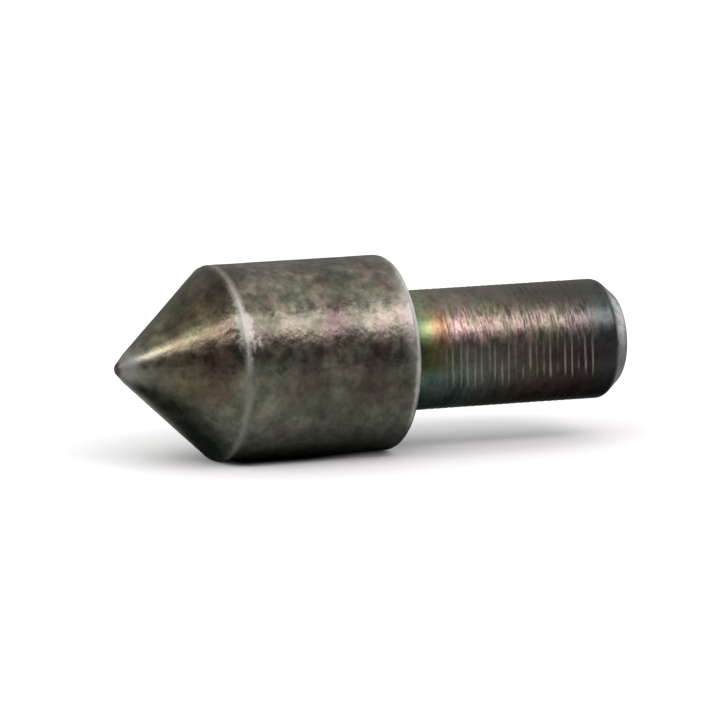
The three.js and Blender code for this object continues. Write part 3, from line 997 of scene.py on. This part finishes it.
def plain_ring(node, hole, rim_fillet, columns=128):
    """A ring as long and as wide as its node, with this hole."""
    start, end, rim = span(node)
    return turned_object(f"{node}_fine", ring_corners(start, end, hole, rim, 0.1, rim_fillet), columns)


def ball_centres(name):
    """The ball nodes of a bearing and their centres, in metres."""
    found = {}
    for node in sorted(frame["nodes"]):
        if node.startswith(f"{name}_ball_"):
            low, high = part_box(node)
            found[node] = (low + high) / 2
    return found


def make_cage(name, hole, ball, rim_fillet, columns):
    """A ring with a round pocket for each ball."""
    ring = plain_ring(f"{name}_cage", hole, rim_fillet, columns)
    shape = bmesh.new()
    for centre in ball_centres(name).values():
        made = bmesh.ops.create_icosphere(shape, subdivisions=3, radius=(ball + POCKET_PLAY) * MM)
        bmesh.ops.translate(shape, verts=made["verts"], vec=centre)
    pockets = placed("pockets", mesh_of("pockets", shape))
    stand_for(boolean_cut(ring, pockets), f"{name}_cage")


def make_balls(name, radius):
    """A bearing's balls, which share one mesh."""
    shape = bmesh.new()
    bmesh.ops.create_icosphere(shape, subdivisions=4, radius=radius * MM)
    mesh = mesh_of(f"{name}_ball_shape", shape)
    mesh.shade_smooth()
    for node, centre in ball_centres(name).items():
        ball = placed(f"{node}_fine", mesh)
        ball.location = centre
        stand_for(ball, node)


# ---- small parts ----


def make_spacers():
    """The two sleeves between the ball bearings."""
    inner_hole = JOURNAL_RADIUS + SLIDING_PLAY
    for node, hole in (("inner_spacer", inner_hole), ("outer_spacer", OUTER_SPACER_HOLE)):
        stand_for(plain_ring(node, hole, 0.2), node)


def make_wave_spring():
    """A flat ring bent into waves that fill its node's length."""
    start, end, rim = span("wave_spring")
    middle = (start + end) / 2
    half = SPRING_THICKNESS / 2
    corners = ring_corners(middle - half, middle + half, SPRING_HOLE, rim, 0.1, 0.1)
    columns = 192
    along, radius = turned_grid(section(corners, True), columns)
    lift = (end - start - SPRING_THICKNESS) / 2
    along = along + lift * np.cos(SPRING_WAVES * angles(columns))[None, :]
    stand_for(grid_object("wave_spring_fine", along, radius, True), "wave_spring")


def make_felt():
    """A felt ring with a fuzzy surface that stays inside its node's size."""
    start, end, rim = span("felt_seal")
    corners = ring_corners(start, end, STUD_RADIUS + FELT_PLAY, rim, 0.15, 0.15)
    along, radius = turned_grid(section(corners, True, 0.3), 176)
    fuzz = bumps(points_of(along, radius), 0.5, 9) * 0.02
    radius = np.minimum(radius + fuzz, rim)
    stand_for(grid_object("felt_seal_fine", along, radius, True), "felt_seal")


def notch_cutters():
    """Boxes where the nut's spanner notches go."""
    shape = bmesh.new()
    for turn in angles(NOTCHES):
        made = bmesh.ops.create_cube(shape, size=1.0)["verts"]
        bmesh.ops.scale(shape, verts=made, vec=Vector((2 * NOTCH_DEPTH, NOTCH_WIDTH, NOTCH_REACH)) * MM)
        bmesh.ops.translate(shape, verts=made, vec=Vector((NUT_END, 0, NOTCH_AT)) * MM)
        bmesh.ops.rotate(shape, verts=made, cent=(0, 0, 0), matrix=Matrix.Rotation(turn, 3, "X"))
    return placed("notches", mesh_of("notches", shape))


def make_nut():
    """The retaining nut, with the felt's groove in its bore."""
    felt_start, felt_end, felt_rim = span("felt_seal")
    groove_start = felt_start - FELT_SIDE_PLAY
    groove_end = felt_end + FELT_SIDE_PLAY
    groove_radius = felt_rim + FELT_PLAY
    nut = turned_object("retaining_nut_fine", [
        (NUT_START, NUT_BORE_RADIUS, 0.15),
        (NUT_START, NUT_RADIUS, 0.25),
        (NUT_END, NUT_RADIUS, 0.3),
        (NUT_END, NUT_BORE_RADIUS, 0.25),
        (groove_end, NUT_BORE_RADIUS),
        (groove_end, groove_radius),
        (groove_start, groove_radius),
        (groove_start, NUT_BORE_RADIUS),
    ], 176)
    stand_for(boolean_cut(nut, notch_cutters()), "retaining_nut")


def circlip_outline():
    """Points of (across, up) round the open ring: its inner arc, then its outer edge with lugs."""
    gap, lug = math.radians(CIRCLIP_GAP / 2), math.radians(CIRCLIP_LUG_ANGLE)
    turns = np.concatenate([np.linspace(gap, 2 * lug, 40), np.linspace(2 * lug, math.pi, 40)[1:]])
    taper = CIRCLIP_RADIUS - CIRCLIP_TAPER * (1 + np.cos(turns)) / 2
    off_lug = turns - lug
    under_root = np.maximum(CIRCLIP_LUG_RADIUS ** 2 - (CIRCLIP_LUG_AT * np.sin(off_lug)) ** 2, 0)
    lug_edge = np.where(under_root > 0, CIRCLIP_LUG_AT * np.cos(off_lug) + np.sqrt(under_root), 0)
    outer = np.maximum(taper, lug_edge)
    turns = np.concatenate([turns, -turns[::-1]])
    outer = np.concatenate([outer, outer[::-1]])
    inner = np.full_like(outer, GROOVE_RADIUS + SLIDING_PLAY)
    turns = np.concatenate([turns, turns[::-1]])
    radius = np.concatenate([inner, outer[::-1]])
    return np.stack([radius * np.sin(turns), radius * np.cos(turns)], axis=-1)


def plate_object(name, outlines, start, end, bevel):
    """A flat plate across the axis: the first outline is its edge and the others are holes."""
    curve = bpy.data.curves.new(name, "CURVE")
    curve.dimensions = "2D"
    curve.fill_mode = "BOTH"
    curve.extrude = (end - start) / 2 - bevel
    curve.bevel_depth = bevel
    curve.bevel_resolution = 2
    curve.offset = -bevel
    for outline in outlines:
        spline = curve.splines.new("POLY")
        spline.points.add(len(outline) - 1)
        for point, (across, up) in zip(spline.points, outline):
            point.co = (across, up, 0, 1)
        spline.use_cyclic_u = True
    shaper = placed(name, curve)
    flat = bpy.data.meshes.new_from_object(shaper.evaluated_get(bpy.context.evaluated_depsgraph_get()))
    bpy.data.objects.remove(shaper)
    shape = bmesh.new()
    shape.from_mesh(flat)
    bmesh.ops.remove_doubles(shape, verts=shape.verts, dist=0.001)
    for vertex in shape.verts:
        across, up, along = vertex.co
        vertex.co = Vector(((start + end) / 2 + along, across, up)) * MM
    bmesh.ops.recalc_face_normals(shape, faces=shape.faces)
    mesh = mesh_of(name, shape)
    smooth(mesh)
    return placed(name, mesh)


def make_circlip():
    """An open ring whose width tapers towards two drilled lugs beside its gap."""
    start, end, _ = span("circlip")
    unit_circle = np.stack([np.sin(angles(24)), np.cos(angles(24))], axis=-1)
    outlines = [circlip_outline()]
    for side in (1, -1):
        turn = side * math.radians(CIRCLIP_LUG_ANGLE)
        centre = CIRCLIP_LUG_AT * np.array([math.sin(turn), math.cos(turn)])
        outlines.append(centre + CIRCLIP_HOLE * unit_circle)
    stand_for(plate_object("circlip_fine", outlines, start, end, CIRCLIP_BEVEL), "circlip")


# ---- stage, light and camera ----

FLOOR_REACH = 4.0
FLOOR_SEEN_TO = 60.0
LIGHT_DISTANCE = 0.8
VIEW_AZIMUTH = -22.6
VIEW_ELEVATION = 9.1
VIEW_DISTANCE = 1.607
VIEW_TARGET = (35.3, 0, 0.25)
LENS = 600
SENSOR = 36


def floor_in_reflections(s, x, y):
    """The floor as shiny surfaces see it, with a painted shadow: darkest close beside the object and on
    the far side of the head.
    """
    past_the_ends = s.math("MAXIMUM", s.times(x, -1.0), s.math("SUBTRACT", x, STUD_END))
    past_cone = s.spread(x, CONE_END, CONE_END + 4.0)
    before_stud = s.spread(x, HEAD_END + 8.0, HEAD_END + 3.0)
    # painted shadow on the far side of the head
    behind = s.times(y, s.mix_values(s.times(past_cone, before_stud), 1.0, 0.35))
    beside = s.math("MAXIMUM", s.math("MAXIMUM", s.times(y, -1.0), behind), past_the_ends)
    return s.ramp(s.times(beside, 1 / FLOOR_SEEN_TO), [
        (0.056, (0.03, 0.034, 0.031)),
        (0.21, (0.40, 0.40, 0.387)),
        (0.30, (0.48, 0.48, 0.465)),
        (0.40, (0.48, 0.48, 0.465)),
        (0.58, (0.27, 0.27, 0.26)),
        (1.00, (0.36, 0.36, 0.35)),
    ])


def contact_shadow(s, x, y):
    """A soft dark patch under the head that reaches out on the camera's side."""
    reach = s.spread(x, CONE_END + 10.0, HEAD_END, 4.2, 0.0)
    outwards = s.math("MAXIMUM", y, s.math("SUBTRACT", s.times(y, -1.0), reach))
    past_cone = s.spread(x, CONE_END - 0.5, CONE_END + 3.5)
    before_rear = s.spread(x, HEAD_END, HEAD_END - 5.0)
    darkness = s.spread(outwards, -1.0, 3.5, 0.98, 0.0)
    return s.times(darkness, s.times(past_cone, before_rear))


def make_floor():
    """A pale floor with a painted contact shadow under the head, painted darker still where shiny
    surfaces see it, as a painted shadow close beside the object.
    """
    r, low_z = FLOOR_REACH, cad_low.z
    corners = [(-r, -r, low_z), (r, -r, low_z), (r, r, low_z), (-r, r, low_z)]
    mesh = bpy.data.meshes.new("floor")
    mesh.from_pydata(corners, [], [(0, 1, 2, 3)])
    floor = placed("floor", mesh)
    s = material_nodes("floor_pale_painted_shadows")
    x, y, _ = s.axes(s.position())
    # painted contact shadow on the pale floor
    pale = s.mix(contact_shadow(s, x, y), (0.86, 0.86, 0.86), (0.004, 0.004, 0.004))
    seen = s.add("ShaderNodeLightPath", output="Is Glossy Ray")
    # shiny surfaces see the floor with painted shadows
    colour = s.mix(seen, pale, floor_in_reflections(s, x, y))
    mesh.materials.append(s.surface(colour, 0.9, metallic=0.0, Specular_IOR_Level=0.0))


def make_world():
    """A soft studio: pale to the camera, and in reflections dark in front, lit above and right."""
    world = bpy.data.worlds.new("studio")
    bpy.context.scene.world = world
    s = Nodes(world)
    direction = s.add("ShaderNodeTexCoord", output="Generated")
    x, y, z = s.axes(direction)
    overhead = s.math("MULTIPLY_ADD", y, 0.38, z)
    above = s.times(s.spread(overhead, 0.2, 0.9, 0.12, 0.79), s.spread(x, -0.9, -0.2, 0.42, 1.0))
    above = s.times(above, s.spread(y, 0.1, 0.8, 1.0, 0.58))
    right = s.add("ShaderNodeVectorMath", {0: direction, 1: (0.98, 0.2, 0.0)}, output="Value",
                  operation="DOT_PRODUCT")
    glow = s.plus(above, s.spread(right, 0.72, 0.97, 0.0, 1.1))
    seen = s.add("ShaderNodeLightPath", output="Is Camera Ray")
    mirrored = s.add("ShaderNodeLightPath", output="Is Glossy Ray")
    strength = s.mix_values(mirrored, s.spread(seen, 0.0, 1.0, 1.1, 1.0), glow)
    warmth = s.mix(mirrored, (1.0, 1.0, 1.0), (1.0, 1.0, 0.95))
    background = s.add("ShaderNodeBackground", {"Color": warmth, "Strength": strength})
    output = s.tree.nodes.new("ShaderNodeOutputWorld")
    s.feed(output.inputs[0], background)


def add_softbox(name, direction, size, power, colour, target, roll=0.0):
    """A rectangular light that faces its target, turned by roll degrees about its own beam."""
    light = bpy.data.lights.new(name, "AREA")
    light.shape = "RECTANGLE"
    light.size, light.size_y = size
    light.energy = power
    light.color = colour
    lamp = placed(name, light)
    away = Vector(direction).normalized()
    lamp.location = target + away * LIGHT_DISTANCE
    lamp.rotation_mode = "QUATERNION"
    lamp.rotation_quaternion = away.to_track_quat("Z", "Y") @ Quaternion((0, 0, 1), math.radians(roll))


def make_lights():
    """A key light, one on the point from the left, and a strip between them."""
    middle = Vector((STUD_END / 2 * MM, 0, 0))
    tip = Vector((CONE_END / 2 * MM, 0, 0))
    add_softbox("key", (0.38, -0.59, 0.712), (0.5, 0.32), 1.65, (1.0, 0.87, 0.94), middle, -12)
    add_softbox("left", (-0.80, -0.16, 0.56), (0.15, 0.15), 0.8, (1.0, 1.0, 0.97), tip)
    add_softbox("between", (-0.31, -0.58, 0.74), (0.6, 0.14), 0.85, (1.0, 0.95, 0.93), middle)


def make_camera():
    """Long lens, from the point's side and a little above, as the object is usually pictured."""
    azimuth, elevation = math.radians(VIEW_AZIMUTH), math.radians(VIEW_ELEVATION)
    data = bpy.data.cameras.new("camera")
    data.lens = LENS
    data.sensor_width = SENSOR
    data.clip_start, data.clip_end = 0.05, 20
    camera = placed("camera", data)
    back = Vector((math.sin(azimuth) * math.cos(elevation), -math.cos(azimuth) * math.cos(elevation),
                   math.sin(elevation)))
    camera.location = Vector(VIEW_TARGET) * MM + back * VIEW_DISTANCE
    camera.rotation_mode = "QUATERNION"
    camera.rotation_quaternion = back.to_track_quat("Z", "Y")
    bpy.context.scene.camera = camera


make_head()
make_stud()
make_radial_rings("front")
make_radial_rings("rear")
make_cage("front", RADIAL_CAGE_HOLE, RADIAL_BALL, 0.1, 176)
make_cage("rear", RADIAL_CAGE_HOLE, RADIAL_BALL, 0.1, 176)
make_thrust_washer("thrust_housing_washer", HOUSING_WASHER_HOLE, 1)
make_thrust_washer("thrust_shaft_washer", SHAFT_WASHER_HOLE, -1)
make_cage("thrust", THRUST_CAGE_HOLE, THRUST_BALL, 0.15, 144)
make_balls("front", RADIAL_BALL)
make_balls("rear", RADIAL_BALL)
make_balls("thrust", THRUST_BALL)
make_spacers()
make_wave_spring()
make_felt()
make_nut()
make_circlip()

make_floor()
make_world()
make_lights()
make_camera()

bpy.context.scene.view_settings.view_transform = "Standard"
